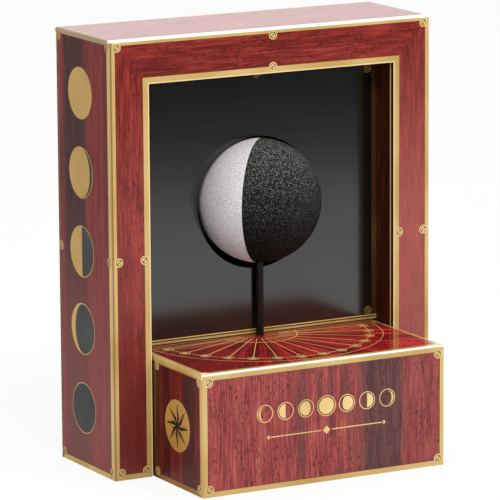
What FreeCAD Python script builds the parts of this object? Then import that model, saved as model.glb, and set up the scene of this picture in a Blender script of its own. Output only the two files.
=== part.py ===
"""Moon phase desk clock: a printed card case and base with a turning moon ball and its quartz movement.

Millimetres. +X is to the right of someone who faces the dial, +Y is to the back, +Z is up.
The origin is the middle of the underside. The ball, its stem and the movement share one upright axis.
"""
import FreeCAD, Part
import math
import os

V = FreeCAD.Vector

# Card box that holds the movement and carries the dial.
board = 2.0
base_width = 109.0
base_height = 49.0
base_reach = 41.0
edge_round = 0.8
fold_step = 0.1

# Upright case round the niche.
base_side_gap = 0.75
leg_width = 16.75
rail_height = 18.0
window_height = 108.0

# Glossy panel behind the moon, with the round hole that the ball is sunk in.
panel_setback = 14.0
panel_foot_gap = 0.3
ball_gap = 1.8
hole_drop = 1.0

# Moon ball on its stem.
ball_radius = 25.0
moon_rise = 55.0
stem_radius = 1.5
stem_panel_gap = 0.5
stem_insertion = 24.0
stem_dial_gap = 0.3
light_side_angle = 135.0

# Quartz movement, hung under its shelf with the shaft upwards.
movement_wall = 1.5
bay_wall = 1.0
movement_back_gap = 6.0
wheel_room = 0.86
wheel_headroom = 2.0
runner_width = 4.0
runner_height = 3.0
bush_radius = 4.0
bush_rise = 5.0
bush_flange_radius = 6.0
bush_flange_height = 0.8
washer_radius = 7.0
washer_height = 0.4
nut_flats = 11.0
nut_height = 2.2
nut_hole_gap = 0.05
hub_radius = 4.0
hub_gap = 0.4
hub_grip = 3.0
hub_head = 3.0
hub_dial_gap = 0.6

# Wheels of the slow end of the train.
gear_module = 0.4
output_teeth = 48
pinion_teeth = 8
middle_teeth = 40
setting_teeth = 16
tooth_addendum = 0.24
tooth_dedendum = 0.36
tooth_root_share = 0.27
tooth_tip_share = 0.13
wheel_height = 1.6
pinion_height = 2.2
level_gap = 0.4
arbor_radius = 2.0
arbor_foot = 2.5
pin_radius = 0.75
running_gap = 0.05
setting_angle = -45.0
setting_arbor_radius = 0.8
thumb_radius = 6.0
thumb_height = 2.5
thumb_gap = 0.5
thumb_notches = 24
thumb_notch_radius = 0.45

# Motor side: sealed reduction block, coil, stator and circuit.
motor_block_overhang = 1.0
coil_block_gap = 0.7
motor_block_overlap = 3.0
coil_radius = 3.0
coil_corner_gap = 1.2
stator_height = 1.0
stator_overhang = 2.0
stator_post_gap = 2.9
circuit_stator_gap = 2.3
circuit_width = 11.0
circuit_height = 1.0
circuit_lift = 1.5
circuit_post_radius = 1.2
circuit_foot_shares = (0.2, 0.8)
crystal_radius = 1.0
crystal_length = 6.0

# One AA cell, which drops out of the underside of the movement.
cell_radius = 7.25
cell_length = 49.5
cell_cap_radius = 2.75
cell_cap_length = 1.0
cell_roof_gap = 0.6
cell_foot_gap = 0.4
cell_side_gap = 0.15
cell_end_room = 1.25
contact_thickness = 0.4
contact_width = 8.0
contact_height = 10.0
contact_gap = 0.3
contact_boss_radius = 2.0

# Loose cover in the floor of the base, under the movement.
hatch_margin = 3.0
hatch_gap = 0.3
hatch_notch_radius = 6.0
screw_radius = 1.0
screw_head_radius = 1.8
screw_head_height = 0.5
screw_length = 5.0
screw_inset = 3.2

overrun = 1.0

# Places that follow from those sizes.
output_pitch = gear_module * output_teeth / 2
half_movement = (cell_length + cell_cap_length) / 2 + cell_end_room + movement_wall
inner_half = half_movement - movement_wall
movement_rear = (output_pitch + tooth_addendum + wheel_room + bay_wall
                 + 2 * (cell_radius + cell_side_gap) + movement_wall)
movement_height = movement_wall + cell_roof_gap + 2 * cell_radius + cell_foot_gap
shelf_drop = bush_rise + hub_gap + hub_grip + hub_head + hub_dial_gap
case_depth = (panel_setback - stem_panel_gap - stem_radius + movement_rear + movement_back_gap
              + board)
window_width = base_width + 2 * base_side_gap
case_width = window_width + 2 * leg_width
window_top = base_height + window_height
case_height = window_top + rail_height
total_depth = base_reach + case_depth
base_front_y = -total_depth / 2
case_front_y = base_front_y + base_reach
case_back_y = case_front_y + case_depth
inner_front_y = case_front_y + board
inner_back_y = case_back_y - board
side_x = case_width / 2 - fold_step
top_z = case_height - fold_step
panel_y = case_front_y + panel_setback
axis_y = panel_y - stem_panel_gap - stem_radius
moon_z = base_height + moon_rise
hole_z = moon_z - hole_drop
hole_radius = ball_radius + ball_gap
dial_under_z = base_height - board
shelf_top_z = dial_under_z - shelf_drop
shelf_z = shelf_top_z - board
movement_z = shelf_z - movement_height
cover_z = shelf_z - movement_wall
movement_floor_z = movement_z + movement_wall
movement_front_y = axis_y - half_movement
movement_back_y = axis_y + movement_rear
cell_y = movement_back_y - movement_wall - cell_side_gap - cell_radius
bay_front_y = cell_y - cell_radius - cell_side_gap
cell_z = cover_z - cell_roof_gap - cell_radius
output_level_z = cover_z - bush_flange_height - pinion_height - wheel_headroom
lower_level_z = output_level_z - level_gap - wheel_height
foot_z = lower_level_z - arbor_foot
bush_top_z = shelf_top_z + bush_rise
hub_z = bush_top_z + hub_gap
arbor_top_z = hub_z + hub_grip
hub_top_z = arbor_top_z + hub_head
hatch_x = half_movement + hatch_margin
hatch_front_y = movement_front_y - hatch_margin
hatch_back_y = movement_back_y + hatch_margin
middle_x = -output_pitch - gear_module * pinion_teeth / 2
post_edge_x = half_movement - 2 * screw_inset + movement_wall
coil_length = 2 * (post_edge_x - stator_post_gap + middle_x - stator_overhang)
circuit_x = middle_x + coil_length / 2 + stator_overhang + circuit_stator_gap
circuit_length = inner_half - 2 * screw_inset - circuit_x


def block(x0, x1, y0, y1, z0, z1):
    """A box between two corners."""
    return Part.makeBox(x1 - x0, y1 - y0, z1 - z0, V(x0, y0, z0))


def rod(radius, x, y, z0, z1):
    """An upright cylinder."""
    return Part.makeCylinder(radius, z1 - z0, V(x, y, z0))


def lying_rod(radius, x0, x1, y, z):
    """A cylinder along X."""
    return Part.makeCylinder(radius, x1 - x0, V(x0, y, z), V(1, 0, 0))


def prism(points, z0, z1):
    """An upright prism over a closed outline of (x, y) points."""
    corners = [V(x, y, z0) for x, y in points]
    face = Part.Face(Part.makePolygon(corners + corners[:1]))
    return face.extrude(V(0, 0, z1 - z0))


def fold(shape, wanted):
    """Round the edges of a card shape whose middle passes the test, as a folded wrap is."""
    edges = [edge for edge in shape.Edges if wanted(edge.CenterOfMass)]
    return shape.makeFillet(min(edge_round, board / 2), edges)


def near(value, target):
    """Say whether two places are the same within a tenth of a board."""
    return abs(value - target) < board / 10


def front_piece(points):
    """One mitred piece of the case front, standing in the plane of its (x, z) outline."""
    corners = [V(x, case_front_y, z) for x, z in points]
    face = Part.Face(Part.makePolygon(corners + corners[:1]))
    return face.extrude(V(0, board, 0))


def front_stile(side):
    """A leg of the case front, cut at the mitre on top."""
    outer = side * case_width / 2
    inner = side * window_width / 2
    shape = front_piece([(outer, 0), (inner, 0), (inner, window_top), (outer, case_height)])
    return fold(shape, lambda c: near(c.y, case_front_y) and near(c.x, outer))


def front_rail():
    """The top rail of the case front, cut at a mitre at each end."""
    outer = case_width / 2
    inner = window_width / 2
    shape = front_piece([(-inner, window_top), (inner, window_top), (outer, case_height),
                         (-outer, case_height)])
    return fold(shape, lambda c: near(c.y, case_front_y) and near(c.z, case_height))


def case_side(side):
    """A side wall of the case."""
    x0, x1 = sorted((side * side_x, side * (side_x - board)))
    return block(x0, x1, inner_front_y, inner_back_y, 0, top_z - board)


def case_top():
    """The lid of the case, over the side walls and the back."""
    shape = block(-side_x, side_x, inner_front_y, case_back_y, top_z - board, top_z)
    return fold(shape, lambda c: near(c.z, top_z) and (near(abs(c.x), side_x) or near(c.y, case_back_y)))


def case_back():
    """The plain back wall."""
    shape = block(-side_x, side_x, inner_back_y, case_back_y, 0, top_z - board)
    return fold(shape, lambda c: near(c.y, case_back_y) and near(abs(c.x), side_x))


def leg_floors():
    """The small floors that close both hollow legs."""
    inner = window_width / 2 + board
    outer = side_x - board
    floors = [block(min(side * inner, side * outer), max(side * inner, side * outer), inner_front_y,
                    inner_back_y, 0, board) for side in (-1, 1)]
    return Part.makeCompound(floors)


def reveal_side(side):
    """A wall of the niche, which is the inner wall of a hollow leg."""
    x0, x1 = sorted((side * window_width / 2, side * (window_width / 2 + board)))
    return block(x0, x1, inner_front_y, inner_back_y, 0, window_top + board)


def reveal_top():
    """The ceiling of the niche, between its walls."""
    half = window_width / 2
    return block(-half, half, inner_front_y, inner_back_y, window_top, window_top + board)


def backdrop_panel():
    """The glossy panel with its round hole."""
    half = window_width / 2
    plate = block(-half, half, panel_y, panel_y + board, base_height + panel_foot_gap, window_top)
    hole = Part.makeCylinder(hole_radius, board + 2 * overrun, V(0, panel_y - overrun, hole_z),
                             V(0, 1, 0))
    return plate.cut(hole)


def base_front():
    """The front wall of the base, under the front edge of the dial."""
    half = base_width / 2
    y = base_front_y + fold_step
    shape = block(-half, half, y, y + board, 0, dial_under_z)
    return fold(shape, lambda c: near(c.y, y) and near(abs(c.x), half))


def base_side(side):
    """A side wall of the base."""
    x0, x1 = sorted((side * base_width / 2, side * (base_width / 2 - board)))
    return block(x0, x1, base_front_y + fold_step + board, inner_back_y, 0, dial_under_z)


def dial_plate():
    """The top of the base, with the hole that the stem comes out of."""
    half = base_width / 2
    shape = block(-half, half, base_front_y, inner_back_y, dial_under_z, base_height)
    shape = fold(shape, lambda c: (near(c.z, base_height) and not near(c.y, inner_back_y))
                 or (near(abs(c.x), half) and near(c.y, base_front_y)))
    hole = rod(stem_radius + stem_dial_gap, 0, axis_y, dial_under_z - overrun, base_height + overrun)
    return shape.cut(hole)


def base_floor():
    """The floor of the base, with the way in to the movement."""
    half = base_width / 2 - board
    plate = block(-half, half, base_front_y + fold_step + board, inner_back_y, 0, board)
    way_in = block(-hatch_x, hatch_x, hatch_front_y, hatch_back_y, -overrun, board + overrun)
    return plate.cut(way_in)


def battery_hatch():
    """The loose cover in that way in, with a notch for a finger."""
    half = hatch_x - hatch_gap
    front = hatch_front_y + hatch_gap
    plate = block(-half, half, front, hatch_back_y - hatch_gap, 0, board)
    return plate.cut(rod(hatch_notch_radius, 0, front, -overrun, board + overrun))


def movement_shelf():
    """The shelf that the movement hangs from."""
    half = base_width / 2 - board
    plate = block(-half, half, base_front_y + fold_step + board, inner_back_y, shelf_z, shelf_top_z)
    return plate.cut(rod(bush_radius + nut_hole_gap, 0, axis_y, shelf_z - overrun,
                         shelf_top_z + overrun))


def shelf_runners():
    """The strips on the side walls that carry the shelf."""
    outer = base_width / 2 - board
    strips = []
    for side in (-1, 1):
        x0, x1 = sorted((side * outer, side * (outer - runner_width)))
        strips.append(block(x0, x1, base_front_y + fold_step + board, inner_back_y,
                            shelf_z - runner_height, shelf_z))
    return Part.makeCompound(strips)


def movement_housing():
    """The moulded tray of the movement, open upwards, with a bay open downwards for the cell."""
    tray = block(-half_movement, half_movement, movement_front_y, movement_back_y, movement_z,
                 cover_z)
    works = block(-inner_half, inner_half, movement_front_y + movement_wall, bay_front_y - bay_wall,
                  movement_floor_z, cover_z + overrun)
    bay = block(-inner_half, inner_half, bay_front_y, movement_back_y - movement_wall,
                movement_z - overrun, cover_z + overrun)
    tray = tray.cut(works).cut(bay)
    x, y = setting_place()
    tray = tray.cut(rod(setting_arbor_radius + running_gap, x, y, movement_z - overrun,
                        movement_floor_z + overrun))
    for x, y in screw_places():
        tray = tray.fuse(block(*screw_post(x, y), movement_floor_z, cover_z))
        tray = tray.cut(rod(screw_radius, x, y, shelf_z - screw_length, cover_z + overrun))
    return tray.removeSplitter()


def screw_places():
    """The four corners where the cover is screwed down."""
    reach = half_movement - screw_inset
    rear = bay_front_y - bay_wall - screw_inset
    front = movement_front_y + screw_inset
    return [(-reach, front), (reach, front), (-reach, rear), (reach, rear)]


def screw_post(x, y):
    """The plan of the square post round a screw, run out to the side wall."""
    half = screw_inset - movement_wall
    side = math.copysign(1, x)
    x0, x1 = sorted((x - side * half, side * inner_half))
    return x0, x1, y - half, y + half


def movement_cover():
    """The flat cover of the movement, with the bush and screw holes."""
    plate = block(-half_movement, half_movement, movement_front_y, movement_back_y, cover_z, shelf_z)
    plate = plate.cut(rod(bush_radius, 0, axis_y, cover_z - overrun, shelf_z + overrun))
    for x, y in screw_places():
        plate = plate.cut(rod(screw_radius, x, y, cover_z - overrun, shelf_z + overrun))
        plate = plate.cut(rod(screw_head_radius, x, y, shelf_z - screw_head_height,
                              shelf_z + overrun))
    return plate


def cover_screws():
    """Four flat screws, sunk in the cover."""
    screws = []
    for x, y in screw_places():
        shank = rod(screw_radius, x, y, shelf_z - screw_length, shelf_z)
        head = rod(screw_head_radius, x, y, shelf_z - screw_head_height, shelf_z)
        screws.append(shank.fuse(head).removeSplitter())
    return Part.makeCompound(screws)


def movement_bush():
    """The brass bush that the shaft runs in and the nut holds."""
    tube = rod(bush_radius, 0, axis_y, cover_z, bush_top_z)
    flange = rod(bush_flange_radius, 0, axis_y, cover_z - bush_flange_height, cover_z)
    bore = rod(arbor_radius + running_gap, 0, axis_y, cover_z - bush_flange_height - overrun,
               bush_top_z + overrun)
    return tube.fuse(flange).removeSplitter().cut(bore)


def bush_washer():
    """The washer under the nut."""
    ring = rod(washer_radius, 0, axis_y, shelf_top_z, shelf_top_z + washer_height)
    return ring.cut(rod(bush_radius + nut_hole_gap, 0, axis_y, shelf_top_z - overrun,
                        shelf_top_z + washer_height + overrun))


def bush_nut():
    """The hexagon nut on the bush."""
    reach = nut_flats / 2 / math.cos(math.pi / 6)
    z = shelf_top_z + washer_height
    corners = [(reach * math.cos(k * math.pi / 3), axis_y + reach * math.sin(k * math.pi / 3))
               for k in range(6)]
    return prism(corners, z, z + nut_height).cut(rod(bush_radius + nut_hole_gap, 0, axis_y,
                                                     z - overrun, z + nut_height + overrun))


def pitch_radius(teeth):
    """Half the pitch diameter of a wheel."""
    return gear_module * teeth / 2


def toothed(teeth, x, y, z0, z1, tooth_angle):
    """A toothed wheel with one tooth in the middle of the angle given in degrees."""
    tip = pitch_radius(teeth) + tooth_addendum
    root = pitch_radius(teeth) - tooth_dedendum
    step = 2 * math.pi / teeth
    flank = [(root, -tooth_root_share), (tip, -tooth_tip_share), (tip, tooth_tip_share),
             (root, tooth_root_share)]
    points = []
    for k in range(teeth):
        for radius, share in flank:
            angle = math.radians(tooth_angle) + (k + share) * step
            points.append((x + radius * math.cos(angle), y + radius * math.sin(angle)))
    return prism(points, z0, z1)


def middle_place():
    """The axis of the middle wheel, to the left of the output wheel."""
    return middle_x, axis_y


def motor_place():
    """The axis of the motor's last pinion, in front of the middle wheel."""
    x, y = middle_place()
    return x, y - pitch_radius(middle_teeth) - pitch_radius(pinion_teeth)


def setting_place():
    """The axis of the setting wheel, to the right in front of the output wheel."""
    reach = pitch_radius(output_teeth) + pitch_radius(setting_teeth)
    angle = math.radians(setting_angle)
    return reach * math.cos(angle), axis_y + reach * math.sin(angle)


def gap_facing(angle, teeth):
    """The tooth angle that puts a gap, not a tooth, at the angle given in degrees."""
    return angle + 180.0 / teeth


def output_wheel():
    """The wheel on the shaft that carries the moon."""
    wheel = toothed(output_teeth, 0, axis_y, output_level_z, output_level_z + wheel_height, 0)
    return wheel.cut(rod(arbor_radius, 0, axis_y, output_level_z - overrun,
                         output_level_z + wheel_height + overrun))


def output_arbor():
    """The shaft, from its pivot in the tray to the hub under the dial."""
    shaft = rod(arbor_radius, 0, axis_y, movement_floor_z + level_gap, arbor_top_z)
    return shaft.cut(rod(pin_radius + running_gap, 0, axis_y, movement_floor_z, foot_z))


def output_pivot():
    """The pin in the tray that the foot of the shaft turns on."""
    return rod(pin_radius, 0, axis_y, movement_floor_z, foot_z - level_gap)


def arbor_hub():
    """The hub that is pressed on the shaft and holds the stem."""
    body = rod(hub_radius, 0, axis_y, hub_z, hub_top_z)
    body = body.cut(rod(arbor_radius, 0, axis_y, hub_z - overrun, arbor_top_z))
    return body.cut(rod(stem_radius, 0, axis_y, arbor_top_z - overrun, hub_top_z + overrun))


def stem():
    """The black rod from the hub up into the ball."""
    return rod(stem_radius, 0, axis_y, arbor_top_z, moon_z - ball_radius + stem_insertion)


def moon_half(angle):
    """Half of the moon ball, bored for the stem, whose round side faces the angle given."""
    ball = Part.makeSphere(ball_radius, V(0, 0, 0))
    reach = ball_radius + overrun
    half = ball.common(block(0, reach, -reach, reach, -reach, reach))
    half.rotate(V(0, 0, 0), V(0, 0, 1), angle)
    half.translate(V(0, axis_y, moon_z))
    return half.cut(rod(stem_radius, 0, axis_y, moon_z - ball_radius - overrun,
                        moon_z - ball_radius + stem_insertion))


def middle_wheel():
    """The middle wheel with its pinion on top, bored for its pin."""
    x, y = middle_place()
    wheel = toothed(middle_teeth, x, y, lower_level_z, lower_level_z + wheel_height, -90)
    neck = rod(pitch_radius(pinion_teeth) - tooth_dedendum, x, y, lower_level_z, output_level_z)
    pinion = toothed(pinion_teeth, x, y, output_level_z, output_level_z + pinion_height,
                     gap_facing(0, pinion_teeth))
    whole = wheel.fuse(neck).fuse(pinion).removeSplitter()
    return whole.cut(rod(pin_radius + running_gap, x, y, lower_level_z - overrun,
                         output_level_z + pinion_height + overrun))


def middle_pin():
    """The steel pin that the middle wheel turns on, from the tray to the cover."""
    x, y = middle_place()
    return rod(pin_radius, x, y, movement_floor_z, cover_z)


def middle_collar():
    """The sleeve under the middle wheel that holds it at its level."""
    x, y = middle_place()
    sleeve = rod(2 * pin_radius, x, y, movement_floor_z, lower_level_z - level_gap / 2)
    return sleeve.cut(rod(pin_radius, x, y, movement_floor_z - overrun, lower_level_z))


def motor_pinion():
    """The last pinion of the sealed reduction, on its own thin arbor."""
    x, y = motor_place()
    pinion = toothed(pinion_teeth, x, y, lower_level_z - level_gap / 2,
                     lower_level_z + pinion_height, gap_facing(90, pinion_teeth))
    foot = rod(pin_radius, x, y, foot_z, lower_level_z)
    return pinion.fuse(foot).removeSplitter()


def motor_block():
    """The sealed block with the rotor and the fast wheels, which is bored for the last arbor."""
    x, y = motor_place()
    coil_y = coil_place()[1]
    reach = coil_length / 2 + motor_block_overhang
    top = lower_level_z - level_gap
    body = block(x - reach, x + reach, coil_y + coil_radius + coil_block_gap, y + motor_block_overlap,
                 movement_floor_z, top)
    return body.cut(rod(pin_radius + running_gap, x, y, foot_z - level_gap, top + overrun))


def coil_place():
    """The middle of the coil, in the front left corner of the tray."""
    x = motor_place()[0]
    y = movement_front_y + movement_wall + coil_corner_gap + coil_radius
    return x, y, movement_floor_z + stator_height + coil_radius


def motor_coil():
    """The copper winding of the motor."""
    x, y, z = coil_place()
    winding = lying_rod(coil_radius, x - coil_length / 2, x + coil_length / 2, y, z)
    return winding.cut(lying_rod(stator_height / 2, x - coil_length, x + coil_length, y, z))


def motor_stator():
    """The coil's iron core and the two feet that stand on the tray."""
    x, y, z = coil_place()
    reach = coil_length / 2 + stator_overhang
    core = lying_rod(stator_height / 2, x - reach, x + reach, y, z)
    for side in (-1, 1):
        x0, x1 = sorted((x + side * reach, x + side * coil_length / 2))
        core = core.fuse(block(x0, x1, y - coil_radius / 2, y + coil_radius / 2, movement_floor_z,
                               z + stator_height))
    return core.removeSplitter()


def circuit_place():
    """The lowest corner of the circuit board, in the front right corner of the tray."""
    y = movement_front_y + movement_wall + level_gap
    return circuit_x, y, movement_floor_z + circuit_lift


def circuit_board():
    """The small board, on two moulded feet."""
    x, y, z = circuit_place()
    return block(x, x + circuit_length, y, y + circuit_width, z, z + circuit_height)


def circuit_feet():
    """The two feet under the board."""
    x, y, z = circuit_place()
    feet = [rod(circuit_post_radius, x + share * circuit_length, y + circuit_width / 2,
                movement_floor_z, z) for share in circuit_foot_shares]
    return Part.makeCompound(feet)


def crystal_can():
    """The quartz crystal's tin can, lying on the board."""
    x, y, z = circuit_place()
    start = x + (circuit_length - crystal_length) / 2
    return lying_rod(crystal_radius, start, start + crystal_length, y + circuit_width / 2,
                     z + circuit_height + crystal_radius)


def cell_half():
    """Half the length of the cell with its cap."""
    return (cell_length + cell_cap_length) / 2


def cell_body():
    """The cell's can."""
    return lying_rod(cell_radius, -cell_half(), -cell_half() + cell_length, cell_y, cell_z)


def cell_cap():
    """The cell's raised end."""
    start = -cell_half() + cell_length
    return lying_rod(cell_cap_radius, start, start + cell_cap_length, cell_y, cell_z)


def cell_contacts():
    """The two plates at the ends of the bay, each with a boss towards the cell."""
    plates = []
    for side in (-1, 1):
        x0, x1 = sorted((side * inner_half, side * (inner_half - contact_thickness)))
        plate = block(x0, x1, cell_y - contact_width / 2, cell_y + contact_width / 2,
                      cell_z - contact_height / 2, cell_z + contact_height / 2)
        b0, b1 = sorted((side * (inner_half - contact_thickness), side * (cell_half() + contact_gap)))
        plates.append(plate.fuse(lying_rod(contact_boss_radius, b0, b1, cell_y, cell_z)))
    return Part.makeCompound(plates)


def setting_gear():
    """The wheel that the thumbwheel turns, with its arbor through the tray."""
    x, y = setting_place()
    gear = toothed(setting_teeth, x, y, output_level_z, output_level_z + wheel_height,
                   gap_facing(setting_angle + 180, setting_teeth))
    arbor = rod(setting_arbor_radius, x, y, movement_z - thumb_gap - thumb_height, output_level_z)
    return gear.fuse(arbor).removeSplitter()


def thumbwheel():
    """The notched wheel under the movement, reached through the hatch."""
    x, y = setting_place()
    top = movement_z - thumb_gap
    wheel = rod(thumb_radius, x, y, top - thumb_height, top)
    wheel = wheel.cut(rod(setting_arbor_radius, x, y, top - thumb_height - overrun, top + overrun))
    for k in range(thumb_notches):
        angle = 2 * math.pi * k / thumb_notches
        wheel = wheel.cut(rod(thumb_notch_radius, x + thumb_radius * math.cos(angle),
                              y + thumb_radius * math.sin(angle), top - thumb_height - overrun,
                              top + overrun))
    return wheel


pieces = {
    "case_front_left_stile": front_stile(-1),
    "case_front_right_stile": front_stile(1),
    "case_front_top_rail": front_rail(),
    "case_left_side": case_side(-1),
    "case_right_side": case_side(1),
    "case_top": case_top(),
    "case_back": case_back(),
    "case_leg_floors": leg_floors(),
    "niche_left_wall": reveal_side(-1),
    "niche_right_wall": reveal_side(1),
    "niche_ceiling": reveal_top(),
    "backdrop_panel": backdrop_panel(),
    "base_front": base_front(),
    "base_left_side": base_side(-1),
    "base_right_side": base_side(1),
    "dial_plate": dial_plate(),
    "base_floor": base_floor(),
    "battery_hatch": battery_hatch(),
    "movement_shelf": movement_shelf(),
    "shelf_runners": shelf_runners(),
    "movement_housing": movement_housing(),
    "movement_cover": movement_cover(),
    "cover_screws": cover_screws(),
    "movement_bush": movement_bush(),
    "bush_washer": bush_washer(),
    "bush_nut": bush_nut(),
    "output_wheel": output_wheel(),
    "output_arbor": output_arbor(),
    "output_pivot": output_pivot(),
    "arbor_hub": arbor_hub(),
    "stem": stem(),
    "moon_light_half": moon_half(light_side_angle),
    "moon_dark_half": moon_half(light_side_angle + 180),
    "middle_wheel": middle_wheel(),
    "middle_pin": middle_pin(),
    "middle_collar": middle_collar(),
    "motor_pinion": motor_pinion(),
    "motor_block": motor_block(),
    "motor_coil": motor_coil(),
    "motor_stator": motor_stator(),
    "circuit_board": circuit_board(),
    "circuit_feet": circuit_feet(),
    "crystal_can": crystal_can(),
    "battery_cell": cell_body(),
    "battery_cap": cell_cap(),
    "battery_contacts": cell_contacts(),
    "setting_gear": setting_gear(),
    "setting_thumbwheel": thumbwheel(),
}

os.makedirs("parts", exist_ok=True)
for name, shape in pieces.items():
    shape.exportStep(os.path.join("parts", name + ".step"))
    print(f"{name:24s} valid {shape.isValid()}  solids {len(shape.Solids)}  volume {shape.Volume:.1f}")
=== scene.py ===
"""Looks of the moon phase desk clock: printed wood card with gilt lines, a glossy panel, a flocked ball.

The pieces are in metres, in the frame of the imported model: +X is to the right, +Y to the back, +Z up.
Inside the materials the maths is in millimetres, read from the Object coordinates.
"""
import math

import bmesh
import bpy
from mathutils import Matrix, Vector, noise


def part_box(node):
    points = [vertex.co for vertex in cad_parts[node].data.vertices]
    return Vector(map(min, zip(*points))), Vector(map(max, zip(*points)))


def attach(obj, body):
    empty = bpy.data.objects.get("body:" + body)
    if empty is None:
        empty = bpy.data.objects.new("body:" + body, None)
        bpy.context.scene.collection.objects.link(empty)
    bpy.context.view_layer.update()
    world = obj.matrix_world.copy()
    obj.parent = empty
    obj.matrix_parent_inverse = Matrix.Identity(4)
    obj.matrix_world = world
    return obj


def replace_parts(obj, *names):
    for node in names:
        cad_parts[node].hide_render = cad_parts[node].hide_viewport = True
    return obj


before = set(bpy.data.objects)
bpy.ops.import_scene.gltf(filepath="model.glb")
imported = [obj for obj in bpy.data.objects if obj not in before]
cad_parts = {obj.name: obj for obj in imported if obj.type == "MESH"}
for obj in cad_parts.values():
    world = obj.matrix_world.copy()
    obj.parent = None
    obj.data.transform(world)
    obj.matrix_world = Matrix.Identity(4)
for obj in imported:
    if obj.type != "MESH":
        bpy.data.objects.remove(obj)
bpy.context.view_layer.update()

mm = 0.001
PER_MM = 1 / mm

# Camera of the photograph.
AZIMUTH = math.radians(-28.613)
ELEVATION = math.radians(11.144)
ROLL = math.radians(-0.364)
DISTANCE = 1640.0 * mm
LENS = 297.7
SENSOR = 36.0
TARGET = Vector((-10.922, -3.5, 86.88)) * mm

# Printed borders in the materials, in millimetres, and the widths of painted highlights on the folds and of
# painted shade in the window's cut. A pair gives where a line starts and ends.
INK_BLUR = 0.06
BORDER = 2.1
BORDER_INK = 0.2
WINDOW_BORDER = 2.6
WINDOW_FOLD = 0.4
WINDOW_CUT = 0.15
FRONT_CREASE = 0.9
FRONT_FOLD = (0.1, 0.7)
SIDE_FOLD = (1.0, 2.4)
SIDE_BORDER_START = 1.1
TOP_CREASE = 2.6
NICHE_LINE = (2.1, 3.0)
PANEL_BORDER = 2.2
PANEL_FOOT_INK = 2.6
PANEL_FOOT_BAND = (0.3, 1.2)
PANEL_FOOT_LINE = (1.7, 2.1)
BASE_FOLD = 0.5
BASE_SIDE_FOLD = 1.2
BASE_SIDE_BORDER_START = 0.6
DIAL_FRONT_BORDER_START = 1.0
DIAL_REAR_BORDER = 0.7
DIAL_CREAM = 1.1
DIAL_CREASE = 0.6
DIAL_FACE = 0.4

# Planks that are printed darker, from where to where, in millimetres.
SIDE_PLANK = (19.5, 39.0)
SIDE_EDGE_PLANK = 3.5
BASE_PLANK = (15.5, 34.9)
BASE_SPLIT = (-14.0, 12.0)
BASE_SIDE_PLANK = (-38.0, -28.0)
BASE_SIDE_STRIP = (-17.0, -11.0)

# Slow changes over the prints, in millimetres: the middle of each change and its length. They are painted
# sheen down the front and low on the sides, the base's painted shadow low on the left leg, the side planks
# darker higher up, the base's painted reflection at the panel's foot, the dial darker towards the left, and
# painted shade at the rear of the base's sides.
FRONT_SHEEN_FADE = (40.0, 70.0)
LEFT_LEG_SHADOW_FADE = (60.0, 60.0)
SIDE_PLANK_FADE = (60.0, 60.0)
SIDE_SHEEN_FADE = (70.0, 90.0)
PANEL_REFLECTION_FADE = (12.0, 16.0)
DIAL_LEFT_FADE = (-15.0, 50.0)
BASE_SIDE_SHADE = 4.0

# Marks of the printed rosewood: width across and length along the grain, in millimetres, and strength.
SWAY = (10.0, 38.0)
SWAY_DEPTH = 3.0
STREAK = (0.7, 15.0)
BAND = (4.0, 60.0)
BAND_SHARE = 0.38
VEIN = (6.0, 110.0)
VEIN_BREAK = (5.0, 22.0)
VEIN_INK = 0.6
PORE_PATCH = (4.0, 14.0)
PORE_DASH = (0.5, 2.2)
PORE_INK = 0.75

# Veneer wedges of the dial, two to a day: millimetres across to the radian, and how far the grain shifts.
WEDGE_ACROSS = 44
WEDGE_SHIFT = 40
WEDGE_LOT = 5.37

# Fine marks to the millimetre. The winding's ripple is in radians.
FLOCK_TUFTS = 1.9
FLOCK_TIPS = 2.7
TURNING_MARKS = 8
WIRE_RIPPLE = 14

# Printed figures stand a hair off the card, and those that lie on others a little higher.
LOW_FOIL = 0.03 * mm
HIGH_FOIL = 0.05 * mm
OVER_FOIL = 1.1 * HIGH_FOIL
RING_FOIL = 1.15 * HIGH_FOIL
NUMBER_HALF_DEPTH = HIGH_FOIL / 4
GILT, INK = 0, 1

# Printed screw heads.
ROUNDEL_RADIUS = 1.8 * mm
ROUNDEL_RING = 0.74 * ROUNDEL_RADIUS
ROUNDEL_RING_WIDTH = 0.15 * ROUNDEL_RADIUS
SLOT_LENGTH = 1.3 * ROUNDEL_RADIUS
SLOT_WIDTH = 0.2 * ROUNDEL_RADIUS
ROUNDEL_INSET = 2.9 * mm
BASE_ROUNDEL_DROP = 0.6 * mm
PANEL_ROUNDEL_INSET = 4.0 * mm
PANEL_ROUNDEL_DROP = 2.0 * mm

# Printed moon discs on the sides, from the top down.
PHASE_RADIUS = 10.0 * mm
PHASE_RIM = 0.35 * mm
PHASE_Y = 23.2 * mm
PHASE_HEIGHT_SHARES = (0.864, 0.683, 0.502, 0.323, 0.139)
PHASE_LIT_SHARES = (1.0, 0.76, 0.0, -0.68, -1.0)

# Compass star on the sides of the base.
STAR_RADIUS = 10.4 * mm
STAR_TIP = 0.88 * STAR_RADIUS
STAR_WAIST = 0.34 * STAR_RADIUS
STAR_LIGHT_SHARE = 0.7
STAR_POINTS = 8
STAR_Y = -23.3 * mm
STAR_Z = 24.6 * mm

# Printed half dial round the stem. Each circle has a radius and a width.
DAYS = 14
DAY_STEP = 2 * math.pi / 29
DIAL_REACH = math.radians(84)
INNER_CIRCLE = 16.0 * mm
MARK_CIRCLE = 45.0 * mm
OUTER_CIRCLE = 50.5 * mm
CIRCLES = ((INNER_CIRCLE, 0.4 * mm), (MARK_CIRCLE, 0.18 * mm), (OUTER_CIRCLE, 0.2 * mm))
DAY_LINE_START = 0.55 * INNER_CIRCLE
DAY_LINE_WIDTH = 0.3 * mm
MARK_RADIUS = 2.2 * mm
MARK_RING = 0.88 * MARK_RADIUS
MARK_RING_WIDTH = 0.28 * MARK_RADIUS
NUMBER_SIZE = 2.9 * mm

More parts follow.
